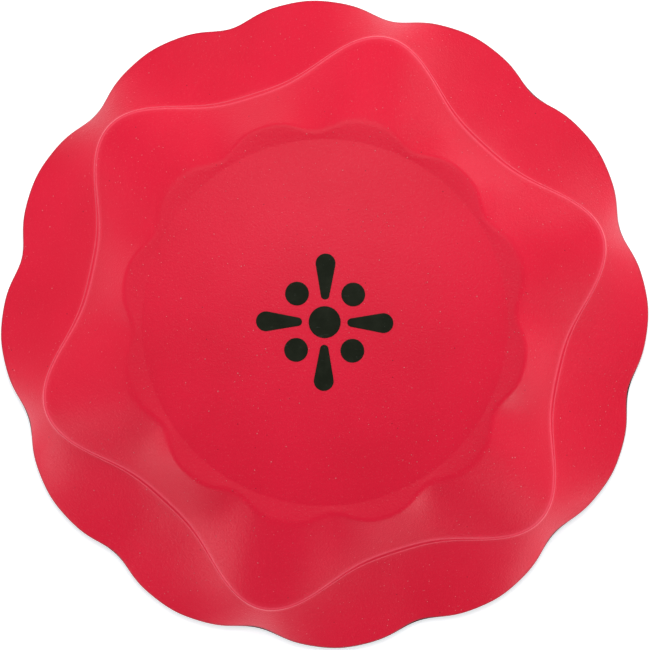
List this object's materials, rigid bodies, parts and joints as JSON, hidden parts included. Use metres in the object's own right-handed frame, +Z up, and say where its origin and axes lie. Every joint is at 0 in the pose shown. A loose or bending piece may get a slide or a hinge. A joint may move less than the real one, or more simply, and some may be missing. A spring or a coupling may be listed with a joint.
{
  "type": "balance stepping stone",
  "caption": "Flower-shaped hollow stepping stone: domed tread, fluted wall and flared lobed rim, with rubber grip pads set in the tread and a rubber foot ring under the rim.",
  "frame": {"origin": "on the floor under the centre of the stone, the bottom centre of its bounding box", "axes": "+Z up through the middle of the tread; +X and +Y through the east and north drop-shaped pads"},
  "size_m": [0.3607, 0.3606, 0.0658],
  "materials": {
    "red_plastic": "fine-grained satin moulding, coloured through",
    "black_rubber": "matt, slightly scuffed"
  },
  "bodies": {
    "root": {"red_stone_shell": "red_plastic", "black_foot_ring": "black_rubber", "grip_pad_centre": "black_rubber", "grip_dot_ne": "black_rubber", "grip_dot_nw": "black_rubber", "grip_dot_sw": "black_rubber", "grip_dot_se": "black_rubber", "grip_drop_east": "black_rubber", "grip_drop_north": "black_rubber", "grip_drop_west": "black_rubber", "grip_drop_south": "black_rubber"}
  },
  "joints": []
}
